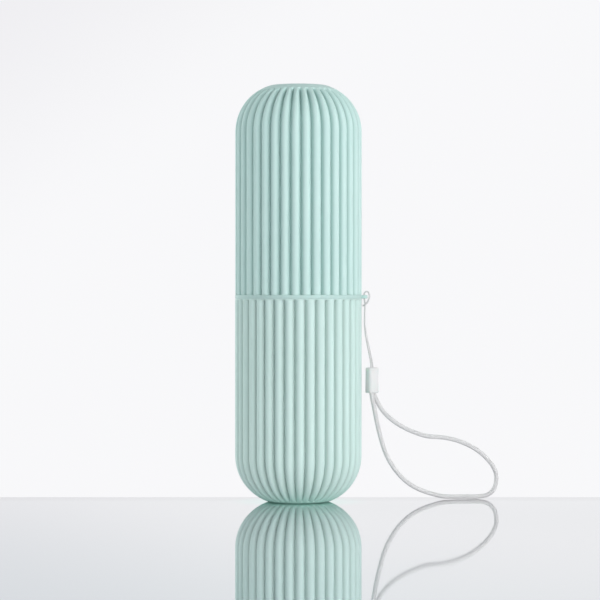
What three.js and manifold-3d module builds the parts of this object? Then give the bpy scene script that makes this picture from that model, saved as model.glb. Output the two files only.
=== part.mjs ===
// Toothbrush travel case: a ribbed capsule in two moulded cups that meet at a coupling ring,
// with a divider inside and a thin wrist lanyard hitched to the ring's ear.
// Millimetres, +Z up. The origin is the centre of the flat base, and the ear points along +X.
// The part that takes most skill is the ribbed moulding of the two cups.

import * as THREE from 'three';
import { mergeVertices } from 'three/addons/utils/BufferGeometryUtils.js';
import Module from 'manifold-3d';

const wasm = await Module();
wasm.setup();

// Driving sizes of the capsule
const CASE_HEIGHT = 207;
const CREST_RADIUS = 31.5;
const SEAM_HEIGHT = 101;
const BAND_THICKNESS = 1.8;
const CORNER_RADIUS = 24;
const BASE_CUT = 1.2;
const TOP_CUT = 0.9;

// Ribs and walls of the two cups
const RIB_COUNT = 36;
const GROOVE_DEPTH = 2.4;
const WALL = 1.2;
const RIM_LAND = 0.9;
const LOWER_RIB_TURN_SHARE = 0.15;
const CAP_RIB_TURN_SHARE = 0.74;
const RIB_STATION_SHARES = [0, 0.35, 0.5, 0.65];
const GROOVE_START_SHARE = 0.19;
const GROOVE_FULL_SHARE = 0.34;
const CORNER_STEPS = 8;
const ROUND_SEGMENTS = 72;
const OVERRUN = 1;

// Coupling ring
const FIT_GAP = 0.4;
const SPIGOT_WALL = 1.4;
const LOWER_SPIGOT = 12;
const UPPER_SPIGOT = 14;
const SPIGOT_CHAMFER = 0.7;
const BEAD_PROUD = 0.2;
const BEAD_HALF_HEIGHT = 0.6;
const BEAD_PLACE_SHARE = 0.5;

// Ear of the coupling ring
const EAR_REACH = 2.9;
const EAR_WIDTH = 5;
const EAR_CORNER = 1.2;
const EAR_ROOT = 2;
const EYE_LENGTH = 1.6;
const EYE_WIDTH = 3.2;
const EYE_CORNER = 0.7;
const EYE_BAR = 0.9;

// Divider and its guides in the lower cup
const DIVIDER_THICKNESS = 1.5;
const DIVIDER_DROP = 4;
const DIVIDER_TOP_CORNER = 8;
const DIVIDER_PASS_GAP = 0.5;
const SEAT_GAP = 0.3;
const NOTCH_RADIUS = 9;
const NOTCH_RISE = 2.5;
const GUIDE_THICKNESS = 1.2;
const GUIDE_OVERLAP = 1.6;
const GUIDE_TOP_GAP = 2;
const GUIDE_SINK = 0.5;

// Lanyard
const STRING_DIAMETER = 0.8;
const STRAND_OFFSET = 0.65;
const LOOP_DIAMETER = 2.2;
const SLEEVE_WIDTH = 6;
const SLEEVE_DEPTH = 5;
const SLEEVE_HEIGHT = 12.7;
const SLEEVE_CORNER = 1.1;
const SLEEVE_BEVEL = 0.6;
const SLEEVE_BASE = 54;
const SLEEVE_X = 36.65;
const SLEEVE_TURN_SHARE = 0.11;
const SOCKET_GAP = 0.3;
const STRING_SOCKET_DEPTH = 1;
const LOOP_SOCKET_DEPTH = 1.2;
const LOOP_OFFSET = 1.3;
const CORD_SIDES = 8;
const STRING_STEPS = 76;
const LOOP_STEPS = 44;
const BEVEL_STEPS = 2;
const CURVE_STEPS = 5;

// Sizes that follow
const bandTop = SEAM_HEIGHT + BAND_THICKNESS;
const innerRadius = CREST_RADIUS - GROOVE_DEPTH - WALL;
const cornerCentreRadius = CREST_RADIUS - CORNER_RADIUS;
const innerCorner = innerRadius - cornerCentreRadius;
const baseCorner = { height: CORNER_RADIUS - BASE_CUT, up: -1 };
const topCorner = { height: CASE_HEIGHT + TOP_CUT - CORNER_RADIUS, up: 1 };
const spigotRadius = innerRadius - FIT_GAP;
const boreRadius = spigotRadius - SPIGOT_WALL;
const dividerHalfWidth = boreRadius - DIVIDER_PASS_GAP;
const dividerTop = SEAM_HEIGHT - DIVIDER_DROP;
const sleeveTurn = 2 * Math.PI * SLEEVE_TURN_SHARE;

const colours = {
  mint: new THREE.Color(0.52, 0.77, 0.73),
  paleMint: new THREE.Color(0.58, 0.8, 0.76),
  white: new THREE.Color(0.86, 0.86, 0.86),
  cord: new THREE.Color(0.8, 0.8, 0.79),
};

function solidOf(geometry) {
  const bare = geometry.index ? geometry.toNonIndexed() : geometry.clone();
  bare.deleteAttribute('normal');
  bare.deleteAttribute('uv');
  const merged = mergeVertices(bare);
  const vertProperties = Float32Array.from(merged.attributes.position.array);
  const triVerts = Uint32Array.from(merged.index.array);
  return new wasm.Manifold(new wasm.Mesh({ numProp: 3, vertProperties, triVerts }));
}

function geometryOf(solid) {
  const mesh = solid.getMesh();
  const geometry = new THREE.BufferGeometry();
  geometry.setAttribute('position', new THREE.BufferAttribute(mesh.vertProperties, 3));
  geometry.setIndex(new THREE.BufferAttribute(mesh.triVerts, 1));
  geometry.computeVertexNormals();
  return geometry;
}

// A point of the rounded corner: share 0 is where the flat face cuts it, share 1 is the straight wall.
function cornerPoint(corner, faceHeight, radius, share) {
  const start = Math.asin(Math.min(1, Math.abs(faceHeight - corner.height) / CORNER_RADIUS));
  const angle = start * (1 - share);
  return new THREE.Vector2(
    cornerCentreRadius + radius * Math.cos(angle),
    corner.height + corner.up * radius * Math.sin(angle),
  );
}

// How deep the grooves are along the corner: a plain rim at the flat face, then a quick run-in.
function grooveFade(share) {
  const grown = (share - GROOVE_START_SHARE) / (GROOVE_FULL_SHARE - GROOVE_START_SHARE);
  return Math.min(1, Math.max(0, grown));
}

// The outline of a cup's outside from the flat face to the rim, for crests (sunk 0) or valleys (sunk 1).
function cupOutline(corner, faceHeight, rimHeight, rimLand, sunk) {
  const points = [new THREE.Vector2(0, faceHeight)];
  for (let step = 0; step <= CORNER_STEPS; step += 1) {
    const share = step / CORNER_STEPS;
    const radius = CORNER_RADIUS - sunk * GROOVE_DEPTH * grooveFade(share);
    points.push(cornerPoint(corner, faceHeight, radius, share));
  }
  const wallRadius = CREST_RADIUS - sunk * GROOVE_DEPTH;
  if (rimLand > 0) {
    points.push(new THREE.Vector2(wallRadius, rimHeight + corner.up * rimLand));
    points.push(new THREE.Vector2(CREST_RADIUS, rimHeight));
  } else {
    points.push(new THREE.Vector2(wallRadius, rimHeight));
  }
  points.push(new THREE.Vector2(0, rimHeight));
  return points;
}

// How far across a rib a station lies turns into how deep it is sunk: the rib's face is an arc.
function ribSink(share) {
  const across = 2 * Math.min(share, 1 - share);
  return 1 - Math.sqrt(1 - across * across);
}

// A lathe turned with four stations to a rib, each moved between the crest and valley outlines.
function ribbedSolid(corner, faceHeight, rimHeight, rimLand, turnShare) {
  let crest = cupOutline(corner, faceHeight, rimHeight, rimLand, 0);
  let valley = cupOutline(corner, faceHeight, rimHeight, rimLand, 1);
  if (corner.up > 0) {
    crest = crest.reverse();
    valley = valley.reverse();
  }
  const stations = RIB_STATION_SHARES.length;
  const geometry = new THREE.LatheGeometry(crest, RIB_COUNT * stations);
  const position = geometry.attributes.position;
  for (let vertex = 0; vertex < position.count; vertex += 1) {
    const column = Math.floor(vertex / crest.length) % (RIB_COUNT * stations);
    const row = vertex % crest.length;
    const share = RIB_STATION_SHARES[column % stations];
    const rib = Math.floor(column / stations) + share + turnShare;
    const angle = (rib / RIB_COUNT) * 2 * Math.PI;
    const point = crest[row].clone().lerp(valley[row], ribSink(share));
    position.setXYZ(vertex, point.x * Math.sin(angle), point.y, point.x * Math.cos(angle));
  }
  geometry.rotateX(Math.PI / 2);
  return solidOf(geometry);
}

// Turns an outline of (radius, height) points about the vertical axis.
function turnedSolid(outline) {
  const geometry = new THREE.LatheGeometry(outline, ROUND_SEGMENTS);
  geometry.rotateX(Math.PI / 2);
  return solidOf(geometry);
}

function hollowOf(corner, faceHeight, rimHeight) {
  const flat = corner.height + corner.up * innerCorner;
  const outline = [new THREE.Vector2(0, flat)];
  for (let step = 0; step <= CORNER_STEPS; step += 1) {
    const angle = (Math.PI / 2) * (1 - step / CORNER_STEPS);
    outline.push(new THREE.Vector2(
      cornerCentreRadius + innerCorner * Math.cos(angle),
      corner.height + corner.up * innerCorner * Math.sin(angle),
    ));
  }
  const mouth = rimHeight - corner.up * OVERRUN;
  outline.push(new THREE.Vector2(innerRadius, mouth));
  outline.push(new THREE.Vector2(0, mouth));
  return turnedSolid(corner.up > 0 ? outline.reverse() : outline);
}

function boxSolid(low, high) {
  const size = high.clone().sub(low);
  const geometry = new THREE.BoxGeometry(size.x, size.y, size.z);
  const centre = low.clone().add(high).multiplyScalar(1 / 2);
  geometry.translate(centre.x, centre.y, centre.z);
  return solidOf(geometry);
}

// The four upright guides that hold the divider's two edges.
function withDividerGuides(cup) {
  const slot = DIVIDER_THICKNESS / 2 + SEAT_GAP;
  const inner = dividerHalfWidth - GUIDE_OVERLAP;
  const outer = innerRadius + GUIDE_SINK;
  const top = SEAM_HEIGHT - LOWER_SPIGOT - GUIDE_TOP_GAP;
  let result = cup;
  for (const side of [-1, 1]) {
    for (const face of [-1, 1]) {
      const near = new THREE.Vector3(side * inner, face * slot, baseCorner.height);
      const far = new THREE.Vector3(side * outer, face * (slot + GUIDE_THICKNESS), top);
      const low = near.clone().min(far);
      const high = near.clone().max(far);
      result = result.add(boxSolid(low, high));
    }
  }
  return result;
}

function lowerCase() {
  const outside = ribbedSolid(baseCorner, 0, SEAM_HEIGHT, -RIM_LAND * baseCorner.up, LOWER_RIB_TURN_SHARE);
  const cup = outside.subtract(hollowOf(baseCorner, 0, SEAM_HEIGHT));
  return geometryOf(withDividerGuides(cup));
}

function cap() {
  const outside = ribbedSolid(topCorner, CASE_HEIGHT, bandTop, 0, CAP_RIB_TURN_SHARE);
  return geometryOf(outside.subtract(hollowOf(topCorner, CASE_HEIGHT, bandTop)));
}

// A rectangle with rounded corners, given by its lowest and highest corner.
function roundedRectangle(target, lowX, lowY, highX, highY, corner) {
  target.moveTo(lowX + corner, lowY);
  target.lineTo(highX - corner, lowY);
  target.absarc(highX - corner, lowY + corner, corner, -Math.PI / 2, 0, false);
  target.lineTo(highX, highY - corner);
  target.absarc(highX - corner, highY - corner, corner, 0, Math.PI / 2, false);
  target.lineTo(lowX + corner, highY);
  target.absarc(lowX + corner, highY - corner, corner, Math.PI / 2, Math.PI, false);
  target.lineTo(lowX, lowY + corner);
  target.absarc(lowX + corner, lowY + corner, corner, Math.PI, 3 * Math.PI / 2, false);
  return target;
}

function ear() {
  const tip = CREST_RADIUS + EAR_REACH;
  const root = CREST_RADIUS - EAR_ROOT;
  const half = EAR_WIDTH / 2;
  const shape = roundedRectangle(new THREE.Shape(), root, -half, tip, half, EAR_CORNER);
  const eyeFar = tip - EYE_BAR;
  const eyeHalf = EYE_WIDTH / 2;
  const eye = new THREE.Path();
  roundedRectangle(eye, eyeFar - EYE_LENGTH, -eyeHalf, eyeFar, eyeHalf, EYE_CORNER);
  shape.holes.push(eye);
  const geometry = new THREE.ExtrudeGeometry(shape, {
    depth: BAND_THICKNESS, bevelEnabled: false, curveSegments: CURVE_STEPS,
  });
  geometry.translate(0, 0, SEAM_HEIGHT);
  return solidOf(geometry);
}

function beadPoints(height, up) {
  const steps = [-1, 0, 1];
  return steps.map((step) => new THREE.Vector2(
    spigotRadius + BEAD_PROUD * (1 - Math.abs(step)),
    height + up * step * BEAD_HALF_HEIGHT,
  ));
}

function couplingRing() {
  const bottom = SEAM_HEIGHT - LOWER_SPIGOT;
  const top = bandTop + UPPER_SPIGOT;
  const chamferRadius = spigotRadius - SPIGOT_CHAMFER;
  const outline = [
    new THREE.Vector2(boreRadius, bottom),
    new THREE.Vector2(chamferRadius, bottom),
    new THREE.Vector2(spigotRadius, bottom + SPIGOT_CHAMFER),
    ...beadPoints(SEAM_HEIGHT - LOWER_SPIGOT * BEAD_PLACE_SHARE, 1),
    new THREE.Vector2(spigotRadius, SEAM_HEIGHT),
    new THREE.Vector2(CREST_RADIUS, SEAM_HEIGHT),
    new THREE.Vector2(CREST_RADIUS, bandTop),
    new THREE.Vector2(spigotRadius, bandTop),
    ...beadPoints(bandTop + UPPER_SPIGOT * BEAD_PLACE_SHARE, 1),
    new THREE.Vector2(spigotRadius, top - SPIGOT_CHAMFER),
    new THREE.Vector2(chamferRadius, top),
    new THREE.Vector2(boreRadius, top),
    new THREE.Vector2(boreRadius, bottom),
  ];
  return geometryOf(turnedSolid(outline).add(ear()));
}

// A flat panel whose foot follows the cup's rounded floor, with a finger notch in its top edge.
function divider() {
  const foot = innerCorner - SEAT_GAP;
  const footRun = dividerHalfWidth - cornerCentreRadius;
  const footEnd = Math.acos(footRun / foot);
  const shape = new THREE.Shape();
  shape.moveTo(-cornerCentreRadius, baseCorner.height - foot);
  shape.lineTo(cornerCentreRadius, baseCorner.height - foot);
  shape.absarc(cornerCentreRadius, baseCorner.height, foot, -Math.PI / 2, -footEnd, false);
  shape.lineTo(dividerHalfWidth, dividerTop - DIVIDER_TOP_CORNER);
  const cornerX = dividerHalfWidth - DIVIDER_TOP_CORNER;
  const cornerZ = dividerTop - DIVIDER_TOP_CORNER;
  shape.absarc(cornerX, cornerZ, DIVIDER_TOP_CORNER, 0, Math.PI / 2, false);
  const notchStart = Math.asin(NOTCH_RISE / NOTCH_RADIUS);
  shape.absarc(0, dividerTop + NOTCH_RISE, NOTCH_RADIUS, -notchStart, notchStart - Math.PI, true);
  shape.absarc(-cornerX, cornerZ, DIVIDER_TOP_CORNER, Math.PI / 2, Math.PI, false);
  shape.lineTo(-dividerHalfWidth, baseCorner.height - foot * Math.sin(footEnd));
  shape.absarc(-cornerCentreRadius, baseCorner.height, foot, Math.PI + footEnd, 3 * Math.PI / 2, false);
  const geometry = new THREE.ExtrudeGeometry(shape, {
    depth: DIVIDER_THICKNESS, bevelEnabled: false, curveSegments: CORNER_STEPS,
  });
  geometry.rotateX(Math.PI / 2);
  geometry.translate(0, DIVIDER_THICKNESS / 2, 0);
  return geometryOf(solidOf(geometry));
}

// An upright cylinder off the sleeve's axis along its width, used to cut the sleeve's sockets.
function post(offset, low, high, diameter) {
  const geometry = new THREE.CylinderGeometry(diameter / 2, diameter / 2, high - low, ROUND_SEGMENTS / 4);
  geometry.rotateX(Math.PI / 2);
  geometry.translate(offset, 0, (low + high) / 2);
  return solidOf(geometry);
}

function lanyardSleeve() {
  const halfWidth = SLEEVE_WIDTH / 2 - SLEEVE_BEVEL;
  const halfDepth = SLEEVE_DEPTH / 2 - SLEEVE_BEVEL;
  const corner = SLEEVE_CORNER - SLEEVE_BEVEL;
  const shape = roundedRectangle(
    new THREE.Shape(), -halfWidth, -halfDepth, halfWidth, halfDepth, corner,
  );
  const geometry = new THREE.ExtrudeGeometry(shape, {
    depth: SLEEVE_HEIGHT - 2 * SLEEVE_BEVEL,
    bevelThickness: SLEEVE_BEVEL,
    bevelSize: SLEEVE_BEVEL,
    bevelSegments: BEVEL_STEPS,
    curveSegments: CURVE_STEPS,
  });
  geometry.translate(0, 0, SLEEVE_BASE + SLEEVE_BEVEL);
  const top = SLEEVE_BASE + SLEEVE_HEIGHT;
  const stringHole = STRING_DIAMETER + 2 * SOCKET_GAP;
  const loopHole = LOOP_DIAMETER + 2 * SOCKET_GAP;
  let sleeve = solidOf(geometry);
  for (const side of [-1, 1]) {
    const upper = post(side * STRAND_OFFSET, top - STRING_SOCKET_DEPTH, top + OVERRUN, stringHole);
    const lower = post(side * LOOP_OFFSET, SLEEVE_BASE - OVERRUN, SLEEVE_BASE + LOOP_SOCKET_DEPTH, loopHole);
    sleeve = sleeve.subtract(upper).subtract(lower);
  }
  const turned = geometryOf(sleeve);
  turned.rotateZ(sleeveTurn);
  turned.translate(SLEEVE_X, 0, 0);
  return turned;
}

function cordTube(route, diameter, steps) {
  const points = route.map(([x, y, z]) => new THREE.Vector3(x, y, z));
  const path = new THREE.CatmullRomCurve3(points, false, 'centripetal');
  const section = new THREE.Shape();
  for (let side = 0; side < CORD_SIDES; side += 1) {
    const angle = (side / CORD_SIDES) * 2 * Math.PI;
    const x = (diameter / 2) * Math.cos(angle);
    const y = (diameter / 2) * Math.sin(angle);
    if (side === 0) {
      section.moveTo(x, y);
    } else {
      section.lineTo(x, y);
    }
  }
  section.closePath();
  const geometry = new THREE.ExtrudeGeometry(section, { steps, extrudePath: path });
  return geometryOf(solidOf(geometry));
}

// The string's two strands leave the sleeve side by side along its width. This is the line between
// them, as x and z, and they turn round it on the way up until they lie side by side along Y.
const STRING_LEG = [
  [36.65, 66.0], [36.6, 67.6], [36.2, 70.6], [35.4, 74.4],
  [34.4, 79.0], [33.5, 84.0], [33.05, 89.5], [33.1, 94.0],
];

// One strand goes up through the ear's eye, over its bar and down outside it; the bight then
// goes round both standing strands, as a lark's head hitch does.
const STRING_HITCH = [
  [33.22, 0.64, 97.2], [33.05, 0.62, 99.6], [32.73, 0.62, 101.5], [32.73, 0.63, 103.2],
  [33.13, 0.66, 104.12], [34.05, 0.72, 104.5], [34.97, 0.78, 104.12], [35.35, 0.85, 103.2],
  [35.35, 0.95, 101.9], [35.1, 1.1, 100.7], [34.65, 1.32, 99.6], [34.0, 1.55, 98.7],
  [33.2, 1.64, 98.05], [32.45, 1.05, 97.6],
];
const HITCH_MIDDLE = [32.25, 0, 97.45];

function legStrand(side) {
  return STRING_LEG.map(([x, z], place) => {
    const share = place / (STRING_LEG.length - 1);
    const turn = sleeveTurn + (Math.PI / 2 - sleeveTurn) * share;
    const reach = side * STRAND_OFFSET;
    return [x + reach * Math.cos(turn), reach * Math.sin(turn), z];
  });
}

const stringRoute = [
  ...legStrand(1),
  ...STRING_HITCH,
  HITCH_MIDDLE,
  ...STRING_HITCH.map(([x, y, z]) => [x, -y, z]).reverse(),
  ...legStrand(-1).reverse(),
];

// The wrist loop from the sleeve's front socket down to the table, along it and back up.
const LOOP_ROUTE = [
  [35.65, -0.83, 54.9], [35.7, -0.8, 53.4], [36.2, -0.5, 51.2], [37.2, 0.1, 47.6], [38.4, 1.0, 42.6],
  [39.8, 2.0, 36.6], [41.4, 3.0, 30.4], [43.3, 4.2, 24.6], [45.8, 5.5, 19.4], [48.9, 7.0, 14.7],
  [52.7, 8.6, 10.5], [57.2, 10.3, 7.0], [62.2, 11.8, 4.5], [67.5, 13.0, 2.7], [72.6, 14.0, 1.5],
  [78.0, 14.9, 1.2], [84.0, 15.8, 1.2], [90.0, 16.4, 1.3], [94.6, 16.6, 2.6], [97.6, 16.4, 5.4],
  [99.1, 15.8, 9.2], [98.8, 15.0, 12.9], [97.2, 14.0, 16.7], [94.5, 12.9, 20.6], [91.0, 11.7, 24.0],
  [86.4, 10.4, 26.9], [81.0, 9.0, 29.3], [75.5, 7.6, 30.9], [70.0, 6.3, 31.7], [64.5, 5.1, 32.2],
  [59.0, 4.0, 33.8], [53.5, 3.0, 36.2], [48.4, 2.1, 39.2], [44.4, 1.4, 42.5], [41.4, 1.0, 46.0],
  [39.3, 0.9, 49.8], [37.9, 0.85, 53.0], [37.65, 0.83, 54.9],
];

function piece(name, geometry, colour, roughness) {
  const material = new THREE.MeshStandardMaterial({ color: colour, roughness, metalness: 0 });
  const mesh = new THREE.Mesh(geometry, material);
  mesh.name = name;
  return mesh;
}

const group = new THREE.Group();
group.add(piece('lower_case', lowerCase(), colours.mint, 0.4));
group.add(piece('coupling_ring', couplingRing(), colours.paleMint, 0.4));
group.add(piece('cap', cap(), colours.mint, 0.4));
group.add(piece('divider', divider(), colours.paleMint, 0.45));
group.add(piece('lanyard_string', cordTube(stringRoute, STRING_DIAMETER, STRING_STEPS), colours.cord, 0.9));
group.add(piece('lanyard_sleeve', lanyardSleeve(), colours.white, 0.5));
group.add(piece('wrist_loop', cordTube(LOOP_ROUTE, LOOP_DIAMETER, LOOP_STEPS), colours.cord, 0.9));

export default group;
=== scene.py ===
"""The looks of a ribbed toothbrush travel case with a wrist lanyard, in metres, +Z up."""

import math

import bpy
import numpy as np
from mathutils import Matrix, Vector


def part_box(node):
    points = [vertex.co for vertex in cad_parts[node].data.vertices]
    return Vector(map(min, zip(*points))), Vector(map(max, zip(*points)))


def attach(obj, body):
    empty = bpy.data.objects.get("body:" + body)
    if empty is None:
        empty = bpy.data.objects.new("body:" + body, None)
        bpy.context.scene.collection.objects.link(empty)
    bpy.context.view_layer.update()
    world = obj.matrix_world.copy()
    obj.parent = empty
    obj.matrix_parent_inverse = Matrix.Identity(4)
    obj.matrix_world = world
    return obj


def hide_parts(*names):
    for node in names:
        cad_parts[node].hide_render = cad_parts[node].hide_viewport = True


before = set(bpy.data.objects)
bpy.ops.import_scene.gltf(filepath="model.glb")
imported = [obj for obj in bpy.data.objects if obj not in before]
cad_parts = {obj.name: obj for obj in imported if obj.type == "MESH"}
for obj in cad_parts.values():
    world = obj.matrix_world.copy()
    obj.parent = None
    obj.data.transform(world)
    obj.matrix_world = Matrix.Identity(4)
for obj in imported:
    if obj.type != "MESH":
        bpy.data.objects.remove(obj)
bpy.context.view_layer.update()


# Camera. A long lens at the height of the case's middle, looking almost level at its front.
# The slight tilt and the step to the side set the case's place in the picture.

LENS = 0.1566
CAMERA_DISTANCE = 1.3
CAMERA_HEIGHT = 0.1043
CAMERA_SIDE = 0.0008
CAMERA_TILT = math.radians(0.176)

eye = bpy.data.cameras.new("eye")
eye.lens = LENS * 1000
camera = bpy.data.objects.new("camera", eye)
camera.location = (CAMERA_SIDE, -CAMERA_DISTANCE, CAMERA_HEIGHT)
camera.rotation_euler = (math.pi / 2 - CAMERA_TILT, 0, 0)
bpy.context.scene.collection.objects.link(camera)
bpy.context.scene.camera = camera
bpy.context.scene.view_settings.view_transform = "Standard"


# Wrist loop. A slim round braid of polyester yarn, pale grey, about 2 mm thick.
# It is cut to length and both of its ends are held in the sleeve, and it lies where it falls.

LOOP_DIAMETER = 0.0022
LOOP_ROUTE = [
    (0.0364, -0.0011, 0.0549), (0.03645, -0.0011, 0.0534), (0.0368, -0.0009, 0.0512),
    (0.03755, -0.0003, 0.0476), (0.0385, 0.0007, 0.0426), (0.0398, 0.0019, 0.0366),
    (0.0414, 0.0030, 0.0304), (0.0433, 0.0042, 0.0246), (0.0458, 0.0055, 0.0194),
    (0.0489, 0.0070, 0.0147), (0.0527, 0.0086, 0.0105), (0.0572, 0.0103, 0.0070),
    (0.0622, 0.0118, 0.0045), (0.0675, 0.0130, 0.0027), (0.0726, 0.0140, 0.0015),
    (0.0780, 0.0149, 0.0012), (0.0840, 0.0158, 0.0012), (0.0908, 0.0164, 0.0012),
    (0.0957, 0.0166, 0.0022), (0.0986, 0.0164, 0.0050), (0.0997, 0.0158, 0.0090),
    (0.0995, 0.0150, 0.0129), (0.0977, 0.0140, 0.0169), (0.0946, 0.0129, 0.0207),
    (0.0909, 0.0117, 0.0240), (0.0864, 0.0104, 0.0269), (0.0810, 0.0090, 0.0293),
    (0.0755, 0.0076, 0.0309), (0.0700, 0.0063, 0.0317), (0.0645, 0.0051, 0.0322),
    (0.0590, 0.0040, 0.0338), (0.0535, 0.0030, 0.0362), (0.0484, 0.0021, 0.0392),
    (0.0444, 0.0014, 0.0425), (0.0414, 0.0010, 0.0460), (0.0393, 0.0009, 0.0498),
    (0.0379, 0.0009, 0.0530), (0.0376, 0.0009, 0.0549),
]


def smooth_line(route, step):
    """Points about step apart on a smooth curve through the route's points.

    Each stretch is a cubic through its two ends, whose direction at a point is that of the
    line between the neighbours, with the parameter growing as the square root of distance.
    """
    p = np.array(route, float)
    p = np.vstack([2 * p[0] - p[1], p, 2 * p[-1] - p[-2]])
    knot = np.concatenate([[0], np.cumsum(np.linalg.norm(np.diff(p, axis=0), axis=1) ** 0.5)])
    fine = []
    for i in range(1, len(p) - 2):
        count = max(2, math.ceil(np.linalg.norm(p[i + 1] - p[i]) / (step / 4)))
        t = np.linspace(knot[i], knot[i + 1], count, endpoint=False)[:, None]
        a = [mix(p[i + k], p[i + k + 1], knot[i + k], knot[i + k + 1], t) for k in (-1, 0, 1)]
        b = [mix(a[k], a[k + 1], knot[i + k - 1], knot[i + k + 1], t) for k in (0, 1)]
        fine.append(mix(b[0], b[1], knot[i], knot[i + 1], t))
    fine = np.vstack(fine + [p[-2]])
    along = np.concatenate([[0], np.cumsum(np.linalg.norm(np.diff(fine, axis=0), axis=1))])
    even = np.linspace(0, along[-1], max(2, round(along[-1] / step) + 1))
    return np.stack([np.interp(even, along, fine[:, k]) for k in range(3)], axis=1)


def mix(low, high, start, end, t):
    """The point between low and high at t, where t runs from start to end."""
    return low + (high - low) * (t - start) / (end - start)


def frames_along(line, first_side):
    """For each point of a line, two directions square to it that turn with it and never twist."""
    ahead = np.gradient(line, axis=0)
    ahead /= np.linalg.norm(ahead, axis=1)[:, None]
    side = np.zeros_like(line)
    carried = np.array(first_side, float)
    for i, direction in enumerate(ahead):
        carried = carried - direction * (carried @ direction)
        carried /= np.linalg.norm(carried)
        side[i] = carried
    return side, np.cross(ahead, side)


def grid_faces(rows, columns):
    """The quads of a tube of that many rings, each of that many points."""
    row, column = np.meshgrid(np.arange(rows - 1), np.arange(columns), indexing="ij")
    after = (column + 1) % columns
    corners = [row * columns + column, row * columns + after,
               (row + 1) * columns + after, (row + 1) * columns + column]
    return np.stack(corners, axis=-1).reshape(-1, 4)


def add_piece(name, points, faces):
    """An object at the origin with a smooth mesh of these points and faces."""
    mesh = bpy.data.meshes.new(name)
    mesh.from_pydata(points.tolist(), [], faces)
    mesh.polygons.foreach_set("use_smooth", np.ones(len(mesh.polygons), bool))
    piece = bpy.data.objects.new(name, mesh)
    bpy.context.scene.collection.objects.link(piece)
    return piece


def closed_tube(name, rings, start, end):
    """A smooth mesh of rings joined in a row and closed by a fan to a point at each end."""
    rows, columns = rings.shape[:2]
    points = np.vstack([rings.reshape(-1, 3), [start, end]])
    column = np.arange(columns)
    after = (column + 1) % columns
    last = (rows - 1) * columns
    first_fan = np.stack([np.full(columns, rows * columns), after, column], axis=1)
    last_fan = np.stack([np.full(columns, rows * columns + 1), last + column, last + after], axis=1)
    faces = grid_faces(rows, columns).tolist() + first_fan.tolist() + last_fan.tolist()
    return add_piece(name, points, faces)


BRAID_RELIEF = 0.09
LOOP_YARNS = 8
LOOP_PITCH = 0.0062
LOOP_RING = 0.00022
LOOP_SIDES = 32


def braided_cord(name, route, diameter, yarns, pitch, ring, sides):
    """A braided tube along a route, and its centre line.

    Two families of yarns wind round it in opposite senses. The radius at an angle a and a
    length s is least between yarns: it follows the higher of the waves of yarns / 2 * (a + turn)
    and yarns / 2 * (a - turn), where turn is one full turn for each pitch of length.
    """
    line = smooth_line(route, ring)
    side, up = frames_along(line, (0, 1, 0))
    angle = np.linspace(0, 2 * math.pi, sides, endpoint=False)[None, :]
    turn = 2 * math.pi * (np.arange(len(line)) * ring / pitch)[:, None]
    one = np.abs(np.cos(yarns / 4 * (angle + turn)))
    other = np.abs(np.cos(yarns / 4 * (angle - turn)))
    radius = diameter / 2 * (1 - BRAID_RELIEF + BRAID_RELIEF * np.maximum(one, other))
    around = (side[:, None, :] * np.cos(angle)[:, :, None]
              + up[:, None, :] * np.sin(angle)[:, :, None])
    piece = closed_tube(name, line[:, None, :] + radius[:, :, None] * around, line[0], line[-1])
    lay_cord_map(piece, len(line), sides, ring)
    return piece, line


def lay_cord_map(piece, rows, columns, ring):
    """A UV map on a cord: U is the share of the way round, V is the length in millimetres.

    A face that closes a ring has U near 0 and near 1. Its low corners get one more, so that
    the map doesn't run back over it. The two tips take the V of the ring beside them.
    """
    mesh = piece.data
    corner = np.zeros(len(mesh.loops), int)
    mesh.loops.foreach_get("vertex_index", corner)
    u = (corner % columns) / columns
    v = (corner // columns) * ring * 1000
    start = np.zeros(len(mesh.polygons), int)
    total = np.zeros(len(mesh.polygons), int)
    mesh.polygons.foreach_get("loop_start", start)
    mesh.polygons.foreach_get("loop_total", total)
    owner = np.repeat(np.arange(len(start)), total)
    widest = np.maximum.reduceat(u, start)[owner]
    u = np.where((widest > 0.75) & (u < 0.25), u + 1, u)
    tip = corner >= rows * columns
    v = np.where(tip, np.where(corner == rows * columns, 0, rows * ring * 1000), v)
    layer = mesh.uv_layers.new(name="cord")
    layer.data.foreach_set("uv", np.stack([u, v], axis=1).ravel())


def new_material(name):
    """A node material, its node tree and its Principled shader."""
    material = bpy.data.materials.new(name)
    material.use_nodes = True
    tree = material.node_tree
    shader = next(n for n in tree.nodes if n.type == "BSDF_PRINCIPLED")
    return material, tree, shader


def add_node(tree, kind, settings=(), inputs=()):
    """A node of that kind, with its settings and the values or links of its inputs."""
    node = tree.nodes.new(kind)
    for name, value in dict(settings).items():
        setattr(node, name, value)
    for name, value in dict(inputs).items():
        if isinstance(value, bpy.types.NodeSocket):
            tree.links.new(value, node.inputs[name])
        else:
            node.inputs[name].default_value = value
    return node


def blended(tree, share, first, second):
    """A colour that goes from the first to the second as the share grows from 0 to 1."""
    inputs = {"Factor": share, 6: first, 7: second}
    return add_node(tree, "ShaderNodeMix", {"data_type": "RGBA"}, inputs).outputs[2]


def group_socket(tree, name, inward, kind="NodeSocketFloat"):
    """A socket of a node group, going in or coming out."""
    way = "INPUT" if inward else "OUTPUT"
    tree.interface.new_socket(name=name, in_out=way, socket_type=kind)


FUZZ_SCALE = 1400
FUZZ_SHARE = 0.6
YARN_DARK_END = 0.1
YARN_LIGHT_END = 1.3


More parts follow.
